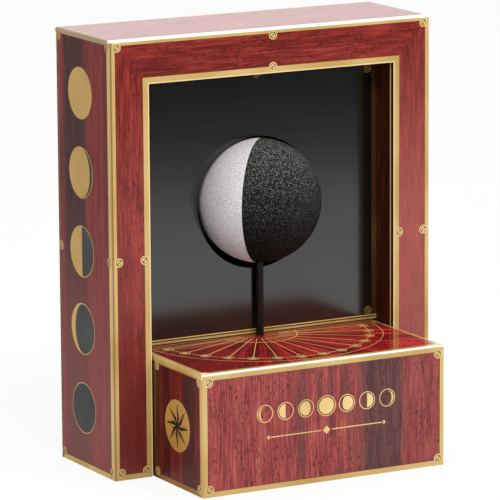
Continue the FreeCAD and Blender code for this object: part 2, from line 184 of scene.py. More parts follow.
# Ornament in the middle of the base's front: a row of moons over a thin rule.
ORNAMENT_X = 0.5 * mm
ORNAMENT_Z = 30.5 * mm
ORNAMENT_PITCH = 9.2 * mm
ORNAMENT_RADIUS = 3.3 * mm
ORNAMENT_MIDDLE_RADIUS = 1.18 * ORNAMENT_RADIUS
ORNAMENT_RIM = 0.3 * mm
ORNAMENT_DISC_SHARE = 0.86
ORNAMENT_LIT_SHARES = (-0.7, 0.0, 0.7, 1.0, 0.7, 0.0, -0.7)
RULE_Z = 20.8 * mm
RULE_HALF = 26.0 * mm
RULE_BAR = 0.9 * RULE_HALF
RULE_BAR_MIDDLE = 0.55 * RULE_HALF
RULE_WIDTH = 0.4 * mm
RULE_END = 1.2 * mm
RULE_DIAMOND = 2.4 * mm

# The ball's grain, and in millimetres from what height up, and over what rise, its flock gets more and more
# painted glints and painted sheen.
GRAIN_DEPTH = 0.07 * mm
GRAIN_SIZE = 0.62 * mm
BALL_CUT = 0.0001 * mm
FLOCK_LOW = 86.0
FLOCK_GLINT_RISE = 38.0

# The paper that the clock stands on, a hair under it. It turns dim FLOOR_IN_FRONT millimetres in front.
FLOOR_HALF = 8.0
FLOOR_GAP = 0.05 * mm
FLOOR_IN_FRONT = 530.0
FLOOR_GLOW = 1.02
FLOOR_SEEN_SHARE = 0.86
FLOOR_MIRRORED_SHARE = 0.6

# The lamps, from the middle of the clock, and the room, which is brighter behind and overhead.
KEY_PLACE = Vector((0.7, -0.95, 1.15))
KEY_ACROSS = 0.8
KEY_POWER = 11.0
FILL_PLACE = Vector((-0.3, -1.0, 1.1))
FILL_ACROSS = 0.5
FILL_POWER = 11.0
ROOM_LEAN = (-0.12, 0.4, 0.32)
ROOM_LEVEL = 0.56


def size(node):
    """The lowest and highest corner of a node, in millimetres."""
    low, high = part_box(node)
    return low * PER_MM, high * PER_MM


CASE_HALF = size("case_front_right_stile")[1].x
CASE_TOP = size("case_front_top_rail")[1].z
CASE_FRONT = size("case_front_top_rail")[0].y
CASE_BACK = size("case_back")[1].y
CASE_SIDE = size("case_right_side")[1].x
WINDOW_HALF = size("case_front_right_stile")[0].x
WINDOW_TOP = size("case_front_top_rail")[0].z
BASE_HALF = size("dial_plate")[1].x
BASE_TOP = size("dial_plate")[1].z
BASE_FRONT = size("dial_plate")[0].y
BASE_FACE = size("base_front")[0].y
PANEL_Y = size("backdrop_panel")[0].y
PANEL_FOOT = size("backdrop_panel")[0].z
STEM_Y = (size("stem")[0].y + size("stem")[1].y) / 2
BASE_ROUNDEL_HEIGHTS = (ROUNDEL_INSET, BASE_TOP * mm - ROUNDEL_INSET - BASE_ROUNDEL_DROP)

# The sign of X on each side, and the side's name.
SIDES = {-1: "left", 1: "right"}


def srgb(red, green, blue):
    """A colour given as 0 to 255, as the shader takes it."""
    def linear(level):
        level /= 255
        return level / 12.92 if level <= 0.04045 else ((level + 0.055) / 1.055) ** 2.4
    return (linear(red), linear(green), linear(blue), 1.0)


# Gilt and ink, each as a dark, a middle and a bright tone.
GILT_TONES = (srgb(182, 144, 78), srgb(198, 164, 100), srgb(212, 182, 122))
# Painted shade: a dimmed copy of the gilt for the borders on the base's sides.
SHADED_BASE_SIDE_GILT = (srgb(132, 88, 28), srgb(164, 118, 50), srgb(190, 146, 72))
BRIGHT_GILT_TONES = (srgb(226, 184, 104), srgb(240, 204, 128), srgb(250, 222, 156))
FIGURE_GILT = (srgb(204, 170, 104), srgb(222, 190, 124), srgb(234, 206, 144))
# Painted shade: a darker copy of the gilt for the discs and screw heads on the case's sides.
SHADED_SIDE_GILT = (srgb(176, 138, 70), srgb(190, 152, 82), srgb(202, 164, 94))
# Painted shade: a dimmed copy of the gilt for the compass medallions on the base's sides.
SHADED_MEDAL_GILT = (srgb(166, 118, 50), srgb(184, 134, 62), srgb(200, 152, 78))
# Painted shade: dark copies of the gilt for the panel's border and screw heads, in the niche.
SHADED_PANEL_GILT = (srgb(56, 36, 10), srgb(72, 48, 15), srgb(92, 66, 25))
SHADED_PANEL_ROUNDEL_GILT = (srgb(120, 90, 42), srgb(146, 112, 56), srgb(168, 134, 74))
LINE_INK = (srgb(36, 18, 6), srgb(48, 26, 10), srgb(62, 36, 16))
NIGHT_INK = (srgb(40, 40, 39), srgb(48, 48, 47), srgb(58, 58, 56))
NUMBER_INK = (srgb(24, 14, 10), srgb(34, 20, 14), srgb(46, 28, 20))

# Woods and board, each as a dark, a middle and a bright tone.
FRONT_WOOD = (srgb(92, 20, 17), srgb(130, 39, 33), srgb(162, 58, 50))
BASE_WOOD = (srgb(112, 36, 38), srgb(152, 63, 61), srgb(180, 88, 82))
BASE_PLANK_WOOD = (srgb(60, 34, 36), srgb(90, 52, 52), srgb(118, 72, 68))
BASE_SIDE_WOOD = (srgb(72, 16, 14), srgb(112, 30, 26), srgb(140, 46, 38))
BASE_SIDE_PLANK_WOOD = (srgb(50, 18, 16), srgb(74, 28, 26), srgb(96, 38, 34))
SIDE_WOOD = (srgb(92, 28, 24), srgb(122, 44, 40), srgb(144, 62, 55))
SIDE_PLANK_WOOD = (srgb(46, 24, 22), srgb(64, 35, 32), srgb(82, 46, 42))
TOP_WOOD = (srgb(136, 48, 42), srgb(176, 78, 68), srgb(204, 112, 98))
NICHE_WOOD = (srgb(30, 8, 4), srgb(62, 24, 10), srgb(98, 44, 20))
DIAL_WOOD = (srgb(136, 10, 18), srgb(188, 34, 38), srgb(220, 76, 66))
DIAL_DARK_WOOD = (srgb(44, 8, 10), srgb(84, 16, 18), srgb(124, 30, 28))
SHADED_INNER_BOARD = (srgb(14, 11, 9), srgb(22, 17, 14), srgb(30, 24, 20))
GREY_BOARD = (srgb(150, 132, 108), srgb(178, 158, 132), srgb(196, 178, 150))
PANEL_BLACK = (srgb(3, 3, 3), srgb(7, 7, 7), srgb(14, 14, 14))

# Single tones: creases and cuts of the card, lines, pores, and painted light. The crease white is bare card
# where the print cracks and a painted highlight, the cream a painted highlight on folds, the cut brown
# painted shade in the gap at the window's cut, and the pale and dark tones after the pores painted sheen,
# shadow, shade and reflection.
BARE_CARD_AND_HIGHLIGHT = srgb(255, 250, 238)
FOLD_HIGHLIGHT_CREAM = srgb(244, 216, 164)
OCHRE = srgb(132, 92, 34)
LINE_BROWN = srgb(96, 30, 20)
GAP_SHADE_BROWN = srgb(34, 20, 8)
FOOT_BROWN = srgb(30, 18, 6)
PORE = srgb(58, 16, 18)
FRONT_SHEEN = srgb(170, 110, 106)
RIGHT_LEG_SHEEN = srgb(190, 108, 102)
LEFT_LEG_SHADOW = srgb(98, 30, 26)
SIDE_SHEEN = srgb(176, 118, 116)
DARK_BASE_SIDE = srgb(30, 14, 8)
PANEL_FOOT_REFLECTION = srgb(38, 22, 12)

# The ball's flock, the floor's paper, and the stuffs of the movement.
LIGHT_FLOCK = (srgb(206, 200, 204), srgb(242, 236, 240), srgb(255, 254, 255))
DARK_FLOCK = (srgb(1, 1, 1), srgb(4, 4, 3), srgb(10, 10, 8))
# Painted glints: the white specks on each flock.
LIGHT_FLOCK_GLINT = srgb(255, 255, 255)
DARK_FLOCK_GLINT = srgb(255, 255, 248)
PAPER = (srgb(224, 224, 224), srgb(226, 226, 226), srgb(228, 228, 228))
DIM_PAPER = srgb(60, 60, 60)
BLACK_PLASTIC = (srgb(24, 24, 26), srgb(34, 34, 36), srgb(46, 46, 48))
IVORY_PLASTIC = (srgb(196, 190, 172), srgb(218, 212, 196), srgb(232, 228, 214))
BLACK_LACQUER = (srgb(12, 8, 6), srgb(20, 14, 11), srgb(32, 24, 20))
STEEL = (srgb(140, 140, 142), srgb(178, 178, 180), srgb(206, 206, 206))
BRASS = (srgb(170, 126, 60), srgb(206, 162, 86), srgb(232, 196, 120))
COPPER = (srgb(96, 40, 18), srgb(176, 84, 44), srgb(214, 122, 72))
GREEN_LACQUER = (srgb(14, 66, 34), srgb(24, 92, 48), srgb(40, 112, 60))
CELL_WRAP = (srgb(30, 30, 34), srgb(40, 40, 46), srgb(54, 54, 60))


class Value:
    """A socket of a node, so that shader maths reads as an expression."""

    def __init__(self, nodes, socket):
        self.nodes = nodes
        self.socket = socket

    def math(self, operation, *values):
        return self.nodes.make("ShaderNodeMath", {"operation": operation}, dict(enumerate(values)))

    def __add__(self, other):
        return self.math("ADD", self, other)

    def __radd__(self, other):
        return self.math("ADD", other, self)

    def __sub__(self, other):
        return self.math("SUBTRACT", self, other)

    def __rsub__(self, other):
        return self.math("SUBTRACT", other, self)

    def __mul__(self, other):
        return self.math("MULTIPLY", self, other)

    def __rmul__(self, other):
        return self.math("MULTIPLY", other, self)

    def __truediv__(self, other):
        return self.math("DIVIDE", self, other)

    def __rtruediv__(self, other):
        return self.math("DIVIDE", other, self)

    def __abs__(self):
        return self.math("ABSOLUTE", self)

    def least(self, other):
        return self.math("MINIMUM", self, other)

    def most(self, other):
        return self.math("MAXIMUM", self, other)

    def whole(self):
        return self.math("FLOOR", self)

    def root(self):
        return self.math("SQRT", self)

    def sine(self):
        return self.math("SINE", self)

    def bearing(self, ahead):
        """The angle to a spot that lies this far to the side and that far ahead."""
        return self.math("ARCTAN2", self, ahead)

    def clamped(self):
        return self.most(0.0).least(1.0)

    def over(self, edge, soft=INK_BLUR):
        """1 where the value is over the edge, 0 where it is under, with a soft step."""
        return ((self - edge) / soft + 0.5).clamped()

    def under(self, edge, soft=INK_BLUR):
        return 1 - self.over(edge, soft)

    def between(self, low, high, soft=INK_BLUR):
        return self.over(low, soft) * self.under(high, soft)


class Nodes:
    """A node tree, whose nodes are all made by one method."""

    def __init__(self, tree):
        self.tree = tree

    def node(self, kind, settings=None, inputs=None):
        node = self.tree.nodes.new(kind)
        for name, setting in (settings or {}).items():
            setattr(node, name, setting)
        for socket, value in (inputs or {}).items():
            self.feed(node.inputs[socket], value)
        return node

    def make(self, kind, settings=None, inputs=None, output=0):
        return Value(self, self.node(kind, settings, inputs).outputs[output])

    def feed(self, socket, value):
        if isinstance(value, Value):
            self.tree.links.new(value.socket, socket)
        else:
            socket.default_value = value


class Finish(Nodes):
    """One material, with its shader and the nodes that feed it."""

    def __init__(self, name, **fixed):
        self.material = bpy.data.materials.new(name)
        self.material.use_nodes = True
        super().__init__(self.material.node_tree)
        self.shader = self.tree.nodes["Principled BSDF"]
        for socket, value in fixed.items():
            self.shader.inputs[socket.replace("_", " ")].default_value = value
        self.point = None

    def place(self):
        """X, Y and Z in millimetres, and keeps them as a vector too."""
        spot = self.make("ShaderNodeTexCoord", output="Object")
        self.point = self.make("ShaderNodeVectorMath", {"operation": "SCALE"}, {0: spot, "Scale": PER_MM})
        split = self.node("ShaderNodeSeparateXYZ", inputs={0: self.point})
        return [Value(self, socket) for socket in split.outputs]

    def vector(self, x, y, z):
        return self.make("ShaderNodeCombineXYZ", inputs={0: x, 1: y, 2: z})

    def noise(self, spot, scale=1.0, detail=2.0, roughness=0.5):
        return self.make("ShaderNodeTexNoise", inputs={"Vector": spot, "Scale": scale, "Detail": detail,
                                                       "Roughness": roughness})

    def mix(self, share, first, second):
        return self.make("ShaderNodeMix", {"data_type": "RGBA"}, {0: share, 6: first, 7: second}, output=2)

    def tint(self, value, low, high, dark, middle, bright):
        """A colour from three, as the value goes from low to high."""
        share = (value - low) / (high - low)
        lower = self.mix((share * 2).clamped(), dark, middle)
        return self.mix((share * 2 - 1).clamped(), lower, bright)

    def bump(self, height, depth, strength=1.0):
        """Bump from a height of 0 to 1 that stands for a depth in metres."""
        self.feed(self.shader.inputs["Normal"],
                  self.make("ShaderNodeBump", inputs={"Height": height, "Distance": depth,
                                                      "Strength": strength}))

    def done(self, colour, roughness=None):
        self.feed(self.shader.inputs["Base Color"], colour)
        if roughness is not None:
            self.feed(self.shader.inputs["Roughness"], roughness)
        return self.material


def grain(finish, tones, across, along, seed, streak=1.0, pores=1.0):
    """Printed rosewood: fine wavy streaks, a few long veins, and short dark pores in clusters."""
    def cloud(spot, mark, shift, detail=2.0):
        width, length = mark
        return finish.noise(finish.vector(spot / width, along / length, seed + shift), detail=detail)
    bent = across + (cloud(across, SWAY, 0.0) - 0.5) * SWAY_DEPTH
    fine = cloud(bent, STREAK, 3.1, detail=3.0)
    broad = cloud(bent, BAND, 7.7)
    colour = finish.tint((fine - 0.5) * streak + (broad - 0.5) * BAND_SHARE, -0.2, 0.2, *tones)
    vein = abs(cloud(bent, VEIN, 11.3) - 0.5).under(0.01, 0.02)
    vein = vein * cloud(bent, VEIN_BREAK, 17.0).over(0.48, 0.1)
    patch = cloud(bent, PORE_PATCH, 23.0).over(0.47, 0.14)
    dash = cloud(bent, PORE_DASH, 29.0, detail=1.0).over(0.57, 0.05) * patch * pores
    return finish.mix((vein * VEIN_INK).most(dash * PORE_INK), colour, PORE)


def gilt(finish, tones=GILT_TONES):
    """Gilt ink, with slow and slight changes of tone."""
    return finish.tint(finish.noise(finish.point, 0.03, 2.0), 0.3, 0.7, *tones)


def shaded_board(finish):
    """Painted shade: the inner side of a wall, made near black so that gaps into the inside read dark."""
    return finish.tint(finish.noise(finish.point, 0.6, 3.0), 0.35, 0.65, *SHADED_INNER_BOARD)


def bordered(finish, wood, edge, tones=GILT_TONES):
    """Wood with a gilt border and its fine brown line, by the distance from the edge."""
    colour = finish.mix(edge.under(BORDER + BORDER_INK), wood, LINE_BROWN)
    return finish.mix(edge.under(BORDER), colour, gilt(finish, tones))


def card_wave(finish):
    """The slight unevenness of card in its glued wrap."""
    finish.bump(finish.noise(finish.point, 0.09, 3.0), 0.5 * mm, 0.12)


def front_print(name, right):
    """The case front, with grain that turns at the mitres, painted sheen that makes it paler further down the
    right leg and a little on the left, and the base's painted shadow darkening the low left leg.
    """
    finish = Finish(name, Roughness=0.3, Specular_IOR_Level=0.3)
    x, y, z = finish.place()
    outer = CASE_HALF - abs(x)
    down = CASE_TOP - z
    across = outer.least(down)
    along = down - 3 * outer + 2 * CASE_HALF if right else x + z
    wood = grain(finish, FRONT_WOOD, across, along, seed=4.0 if right else 1.0, streak=0.9)
    # Painted sheen: paler further down from the top, most on the right leg.
    if right:
        wood = finish.mix(down.over(*FRONT_SHEEN_FADE) * 0.4, wood, RIGHT_LEG_SHEEN)
    else:
        wood = finish.mix(down.over(*FRONT_SHEEN_FADE) * 0.1, wood, FRONT_SHEEN)
        # Painted shadow of the base: darker low on the left leg.
        wood = finish.mix(z.under(*LEFT_LEG_SHADOW_FADE) * 0.65, wood, LEFT_LEG_SHADOW)
    window = (abs(x) - WINDOW_HALF).most(z - WINDOW_TOP)
    edge = across.least(window - (WINDOW_BORDER - BORDER)).least(z)
    colour = bordered(finish, wood, edge)
    # Painted highlight: cream along the window's inner fold.
    colour = finish.mix(window.under(WINDOW_FOLD, 0.3), colour, FOLD_HIGHLIGHT_CREAM)
    # Painted shade in the gap at the window's cut: the cut faces are dark brown.
    colour = finish.mix(window.under(WINDOW_CUT, 0.1) * y.over(CASE_FRONT + 0.3, 0.2), colour, GAP_SHADE_BROWN)
    if not right:
        colour = finish.mix(outer.between(*FRONT_FOLD, 0.2) * down.over(FRONT_CREASE) * 0.75, colour, OCHRE)
    # White crease along the top: bare card where the print cracks, and a painted highlight.
    colour = finish.mix(down.under(FRONT_CREASE, 0.3), colour, BARE_CARD_AND_HIGHLIGHT)
    card_wave(finish)
    return finish.done(colour)


def side_print(name, seed):
    """The sides of the case, with upright planks, a gilt border, a cream painted highlight on the fold in
    front, and painted sheen that pales them low down.
    """
    finish = Finish(name, Roughness=0.36, Specular_IOR_Level=0.06)
    x, y, z = finish.place()
    red = grain(finish, SIDE_WOOD, y, z, seed, streak=0.6, pores=0.4)
    grey = grain(finish, SIDE_PLANK_WOOD, y, z, seed + 5, streak=0.6, pores=0.4)
    drift = y + (finish.noise(finish.vector(0.0, y * 0.2, z * 0.02 + seed), detail=1.0) - 0.5) * 6
    plank = drift.between(*SIDE_PLANK, 2.5).most(drift.under(SIDE_EDGE_PLANK, 1.2) * 0.5)
    wood = finish.mix(plank * z.over(*SIDE_PLANK_FADE).most(0.6), red, grey)
    # Painted sheen: paler low down.
    wood = finish.mix(z.under(*SIDE_SHEEN_FADE) * 0.22, wood, SIDE_SHEEN)
    front = y - CASE_FRONT
    down = CASE_TOP - z
    edge = (front - SIDE_BORDER_START).least(CASE_BACK - y).least(down).least(z)
    # Painted highlight: cream along the fold in front.
    colour = finish.mix(front.between(*SIDE_FOLD, 0.3), bordered(finish, wood, edge), FOLD_HIGHLIGHT_CREAM)
    colour = finish.mix(down.under(BORDER, 0.3) * 0.7, colour, OCHRE)
    card_wave(finish)
    return finish.done(finish.mix(abs(x).under(CASE_HALF - 0.3), colour, shaded_board(finish)))


def back_print(name):
    """The back of the case: the same wood, with its border."""
    finish = Finish(name, Roughness=0.32, Specular_IOR_Level=0.35)
    x, y, z = finish.place()
    wood = grain(finish, SIDE_WOOD, x, z, seed=31.0, streak=0.8, pores=0.7)
    edge = (CASE_HALF - abs(x)).least(CASE_TOP - z).least(z)
    card_wave(finish)
    return finish.done(finish.mix(y.under(CASE_BACK - 0.9), bordered(finish, wood, edge), shaded_board(finish)))


def top_print(name):
    """The top of the case, glossy, with grain along its length and a white crease in front: bare card where
    the print cracks on the fold, and a painted highlight.
    """
    finish = Finish(name, Roughness=0.22, Coat_Weight=0.54, Coat_Roughness=0.12)
    x, y, _ = finish.place()
    wood = grain(finish, TOP_WOOD, y, x, seed=41.0)
    end = CASE_HALF - abs(x)
    card_wave(finish)
    colour = bordered(finish, wood, end.least(CASE_BACK - y))
    colour = finish.mix(end.under(BORDER, 0.3) * 0.8, colour, OCHRE)
    return finish.done(finish.mix((y - CASE_FRONT).under(TOP_CREASE, 0.3), colour, BARE_CARD_AND_HIGHLIGHT))


def niche_print(name, seed):
    """The walls of the niche, dark, with a fine gilt line near the front edge."""
    finish = Finish(name, Roughness=0.36, Specular_IOR_Level=0.08)
    x, y, z = finish.place()
    wood = grain(finish, NICHE_WOOD, y, z + x, seed, streak=0.9)
    line = (y - CASE_FRONT).between(*NICHE_LINE, 0.2)
    return finish.done(finish.mix(line, wood, gilt(finish, BRIGHT_GILT_TONES)))


def panel_print(name):
    """The glossy black panel, faintly brushed, with a gilt border dimmed as painted shade, a painted
    reflection of the base's top at its foot, and bright lines at its foot.
    """
    finish = Finish(name, IOR=1.5, Coat_Weight=1.0, Coat_Roughness=0.16)
    x, y, z = finish.place()
    brushed = finish.noise(finish.vector(x * 0.05, y, z * 2.6), detail=3.0)
    cloudy = finish.noise(finish.vector(x * 0.02, y, z * 0.05), detail=2.0)
    foot = z - PANEL_FOOT
    edge = (WINDOW_HALF - abs(x)).least(WINDOW_TOP - z).least(foot)
    black = finish.tint(brushed, 0.35, 0.65, *PANEL_BLACK)
    # Painted reflection of the base's top: a brown haze up from the panel's foot.
    black = finish.mix(foot.under(*PANEL_REFLECTION_FADE) * 0.6, black, PANEL_FOOT_REFLECTION)
    # Painted shade: the border's gilt is a dark copy.
    colour = finish.mix(edge.under(PANEL_BORDER), black, gilt(finish, SHADED_PANEL_GILT))
    colour = finish.mix(foot.under(PANEL_FOOT_INK, 0.2), colour, FOOT_BROWN)
    colour = finish.mix(foot.between(*PANEL_FOOT_BAND, 0.2), colour, gilt(finish))
    colour = finish.mix(foot.between(*PANEL_FOOT_LINE, 0.2), colour, gilt(finish, BRIGHT_GILT_TONES))
    finish.bump(brushed, 0.06 * mm, 0.25)
    return finish.done(colour, cloudy * 0.1 + 0.12)


def base_front_print(name):
    """The front of the base: upright planks, one of them dark, inside a gilt border."""
    finish = Finish(name, Roughness=0.32, Specular_IOR_Level=0.3)
    x, _, z = finish.place()
    wood = grain(finish, BASE_WOOD, x, z, seed=51.0, streak=0.9)
    plank = grain(finish, BASE_PLANK_WOOD, x, z, seed=57.0, streak=0.7)
    start, end = BASE_PLANK
    split = finish.noise(finish.vector(x * 0.35, z * 0.02, 3.0), detail=1.0).over(0.54, 0.06)
    dark = (x.over(start, 7.0) * x.under(end, 0.2)).most(split * x.between(*BASE_SPLIT, 8.0) * 0.7)
    # Painted shade: the wood right of the dark plank is mixed a quarter of the way to the dark plank's wood.
    wood = finish.mix(dark.most(x.over(end, 0.2) * 0.25), wood, plank)
    edge = (BASE_HALF - abs(x)).least(z).least(BASE_TOP - z - BASE_FOLD)
    card_wave(finish)
    return finish.done(bordered(finish, wood, edge))


def base_side_print(name, seed):
    """A side of the base, dark red with two planks darker still, in painted shade beside the case: dimmed
    gilt, a darker rear, and a painted cream highlight on its front fold.
    """
    finish = Finish(name, Roughness=0.36, Specular_IOR_Level=0.1)
    x, y, z = finish.place()
    wood = grain(finish, BASE_SIDE_WOOD, y, z, seed, pores=0.6)
    plank = grain(finish, BASE_SIDE_PLANK_WOOD, y, z, seed + 3, pores=0.6)
    dark = y.between(*BASE_SIDE_PLANK, 1.0).most(y.between(*BASE_SIDE_STRIP, 1.0))
    wood = finish.mix(dark, wood, plank)
    front = y - BASE_FRONT
    edge = (front - BASE_SIDE_BORDER_START).least(CASE_FRONT - y).least(z).least(BASE_TOP - z - BASE_FOLD)
    # Painted shade: the border's gilt is a dimmed copy.
    printed = bordered(finish, wood, edge, SHADED_BASE_SIDE_GILT)
    # Painted highlight: cream along the front fold.
    printed = finish.mix(front.under(BASE_SIDE_FOLD, 0.3), printed, FOLD_HIGHLIGHT_CREAM)
    # Painted shade: darker towards the rear, beside the case.
    shade = y.over(CASE_FRONT - BASE_SIDE_SHADE, BASE_SIDE_SHADE)
    printed = finish.mix(shade * 0.7, printed, DARK_BASE_SIDE)
    card_wave(finish)
    colour = finish.mix(y.under(CASE_FRONT, 0.1), wood, printed)
    return finish.done(finish.mix(abs(x).under(BASE_HALF - 0.9), colour, shaded_board(finish)))


def dial_print(name):
    """The dial: veneer wedges round the stem under high gloss, with gilt borders."""
    finish = Finish(name, Roughness=0.2, Specular_IOR_Level=0.12, Coat_Weight=0.48, Coat_Roughness=0.04)
    x, y, z = finish.place()
    rear = PANEL_Y - y
    angle = x.bearing(rear)
    reach = (x * x + rear * rear).root()
    wedge = (angle / (DAY_STEP * 0.5) + 0.5).whole()
    lot = finish.make("ShaderNodeTexWhiteNoise", {"noise_dimensions": "1D"}, {"W": wedge + WEDGE_LOT})
    across = angle * WEDGE_ACROSS + lot * WEDGE_SHIFT
    wood = grain(finish, DIAL_WOOD, across, reach, seed=61.0, streak=1.3, pores=0.8)
    dark = grain(finish, DIAL_DARK_WOOD, across, reach, seed=67.0)
    patch = finish.noise(finish.vector(across * 0.18, reach * 0.05, lot * 9), detail=2.0)
    share = (patch * 0.6 + lot * 0.4).over(0.58, 0.1) * 0.85
    wood = finish.mix(share.most(x.under(*DIAL_LEFT_FADE) * 0.65), wood, dark)
    front = y - BASE_FRONT
    edge = (BASE_HALF - abs(x)).least(front - DIAL_FRONT_BORDER_START).least(rear + BORDER - DIAL_REAR_BORDER)
    colour = bordered(finish, wood, edge)
    # Painted highlight on the front fold: cream, then white nearest the edge, partly bare card where the
    # print cracks.
    colour = finish.mix(front.under(DIAL_CREAM, 0.4), colour, FOLD_HIGHLIGHT_CREAM)
    colour = finish.mix(front.under(DIAL_CREASE, 0.4), colour, BARE_CARD_AND_HIGHLIGHT)
    face = z.under(BASE_TOP - DIAL_CREASE, 0.5) * front.under(DIAL_FACE, 0.2)
    colour = finish.mix(face, colour, gilt(finish))
    finish.bump(finish.noise(finish.point, 0.08, 2.0), 0.5 * mm, 0.08)
    return finish.done(colour)


def plain(name, tones, roughness, scale=0.8, depth=0.0, **fixed):
    """A single-coloured stuff with its own mottle, a varying gloss and a fine skin."""
    finish = Finish(name, **fixed)
    finish.place()
    mottle = finish.noise(finish.point, scale, 3.0) * 0.6 + finish.noise(finish.point, scale * 9, 2.0) * 0.4
    if depth:
        finish.bump(mottle, depth)
    return finish.done(finish.tint(mottle, 0.36, 0.64, *tones), mottle * 0.16 + (roughness - 0.08))


def turned_metal(name, tones, roughness, axis_y):
    """Turned metal, with fine rings round its upright axis."""
    finish = Finish(name, Metallic=1.0)
    x, y, z = finish.place()
    ahead = y - axis_y
    ring = (x * x + ahead * ahead).root()
    mark = finish.noise(finish.vector(ring * TURNING_MARKS, z * TURNING_MARKS, 2.0), detail=2.0)
    return finish.done(finish.tint(mark, 0.35, 0.65, *tones), mark * 0.2 + (roughness - 0.1))


def wound_wire(name):
    """Enamelled copper wire, wound in close turns."""
    finish = Finish(name, Metallic=1.0, Coat_Weight=0.5)
    turn = (finish.place()[0] * WIRE_RIPPLE).sine() * 0.5 + 0.5
    finish.bump(turn, 0.06 * mm)
    return finish.done(finish.tint(turn, 0.0, 1.0, *COPPER), turn * 0.1 + 0.3)


def flock(name, tones, glint_colour, glint_share, **fixed):
    """Short flock: a soft grain with painted glints, white specks that grow more and brighter towards the
    top, and a faint painted sheen up there.
    """
    finish = Finish(name, **fixed)
    height = finish.place()[2]
    tuft = finish.noise(finish.point, FLOCK_TUFTS, 3.0, 0.6)
    cell = finish.node("ShaderNodeTexVoronoi", inputs={"Vector": finish.point, "Scale": FLOCK_TIPS})
    near = Value(finish, cell.outputs["Distance"])
    lot = finish.make("ShaderNodeSeparateColor", inputs={0: Value(finish, cell.outputs["Color"])})
    glint_rise = ((height - FLOCK_LOW) / FLOCK_GLINT_RISE).clamped()
    glint_rise = glint_rise * glint_rise
    # Painted glints, more and brighter towards the top, over a faint painted sheen.
    glint = lot.over(1 - glint_share, 0.2) * near.under(0.36, 0.15) * (glint_rise * 0.9 + 0.1)
    colour = finish.mix((glint * 0.64).most(glint_rise * 0.025), finish.tint(tuft, 0.34, 0.66, *tones), glint_colour)
    finish.bump(tuft + near * 0.6, 0.6 * mm, 1.0)
    return finish.done(colour, 0.6 - glint * 0.3)


def gilt_foil(name, tones):
    """Gilt of the printed figures."""
    finish = Finish(name, Roughness=0.42, Specular_IOR_Level=0.2)
    finish.place()
    return finish.done(gilt(finish, tones))


def ink_foil(name, tones):
    """Dark ink on the gilt."""
    finish = Finish(name, Roughness=0.4, Specular_IOR_Level=0.15)
    finish.place()
    return finish.done(finish.tint(finish.noise(finish.point, 0.05, 2.0), 0.3, 0.7, *tones))


def floor_paper():
    """White paper to the camera, whose far front part mirrors dim in the gloss."""
    finish = Finish("floor_paper", Roughness=0.9, Specular_IOR_Level=0.1)
    far = finish.place()[1].under(-FLOOR_IN_FRONT, 20.0)
    pale = finish.tint(finish.noise(finish.point, 0.02, 2.0), 0.3, 0.7, *PAPER)
    paper = finish.done(finish.mix(far, pale, DIM_PAPER))
    glow = finish.make("ShaderNodeEmission", inputs={"Color": (1, 1, 1, 1), "Strength": FLOOR_GLOW})
    seen = finish.make("ShaderNodeLightPath", output="Is Camera Ray")
    mirrored = finish.make("ShaderNodeLightPath", output="Is Glossy Ray")
    share = (seen * (far * (1 - FLOOR_SEEN_SHARE) + FLOOR_SEEN_SHARE)).most(
        mirrored * (1 - far) * FLOOR_MIRRORED_SHARE)
    shown = finish.make("ShaderNodeMixShader", inputs={0: share, 1: Value(finish, finish.shader.outputs[0]),
                                                       2: glow})
    finish.feed(finish.tree.nodes["Material Output"].inputs["Surface"], shown)
    return paper


def on_front(y):
    """Puts a drawing on an upright face that looks to the front."""
    return Matrix(((1, 0, 0, 0), (0, 0, -1, y), (0, 1, 0, 0), (0, 0, 0, 1)))


def on_side(side, reach):
    """Puts a drawing on the left (-1) or right (1) face, this far from the middle.

    The drawing's own right is to the front on the left face, and to the back on the right face.
    """
    return Matrix(((0, 0, side, side * reach), (side, 0, 0, 0), (0, 1, 0, 0), (0, 0, 0, 1)))


def on_top(z):
    """Puts a drawing on a level face."""
    return Matrix.Translation((0, 0, z))


